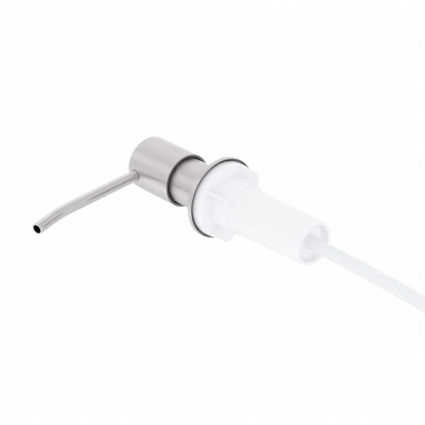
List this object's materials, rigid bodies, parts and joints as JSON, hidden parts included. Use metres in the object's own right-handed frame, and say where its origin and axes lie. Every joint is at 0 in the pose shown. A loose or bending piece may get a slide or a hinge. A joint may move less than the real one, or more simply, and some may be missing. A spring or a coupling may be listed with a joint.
{
  "type": "soap pump dispenser",
  "caption": "Deck-mounted soap pump: swivelling metal cap with a bent spout on a flanged neck, over a ribbed collar, a long barrel and a dip tube.",
  "frame": {"origin": "centre of the base flange's underside, on the pump axis", "axes": "+Z along the pump axis, towards the cap; -Y towards the spout's mouth; +X completes a right-handed frame"},
  "size_m": [0.05, 0.1207, 0.2834],
  "materials": {
    "brushed_steel": "satin, finely turned round the axis",
    "polished_tube": "fine satin, nearly polished",
    "white_plastic": "moulded, semi-matt",
    "natural_plastic": "moulded, semi-matt, slightly translucent",
    "seal_plastic": "soft, semi-matt",
    "translucent_tube": "extruded, satin, translucent",
    "black_rubber": "matt",
    "spring_steel": "drawn wire",
    "ball_steel": "ground and polished"
  },
  "bodies": {
    "base": {"neck_flange": "brushed_steel", "flange_gasket": "black_rubber", "guide_collar": "white_plastic", "barrel_sleeve": "white_plastic", "stem_guide": "white_plastic", "stem_wiper": "black_rubber", "housing_gasket": "black_rubber", "pump_cylinder": "natural_plastic", "return_spring": "spring_steel", "ball_cage": "natural_plastic", "dip_tube": "translucent_tube"},
    "plunger": {"piston_stem": "natural_plastic", "outlet_cage": "natural_plastic", "piston_seal": "seal_plastic", "piston_retainer": "natural_plastic"},
    "head": {"pump_cap": "brushed_steel", "head_insert": "white_plastic", "spout_tube": "polished_tube", "spout_o_ring": "black_rubber", "stem_o_ring": "black_rubber"},
    "outlet_valve": {"outlet_ball": "ball_steel"},
    "inlet_valve": {"inlet_ball": "ball_steel"}
  },
  "joints": [
    {"name": "press", "type": "slide", "parent": "base", "child": "plunger", "axis": [0, 0, -1], "range_m": [0, 0.0145], "stiffness_N_per_m": 700, "springref_m": -0.0115, "deforming": ["return_spring"]},
    {"name": "head_swivel", "type": "hinge", "parent": "plunger", "child": "head", "pos_m": [0, 0, 0.054], "axis": [0, 0, 1], "continuous": true},
    {"name": "outlet_ball_lift", "type": "slide", "parent": "plunger", "child": "outlet_valve", "axis": [0, 0, 1], "range_m": [0, 0.0015]},
    {"name": "inlet_ball_lift", "type": "slide", "parent": "base", "child": "inlet_valve", "axis": [0, 0, 1], "range_m": [0, 0.0012]}
  ]
}
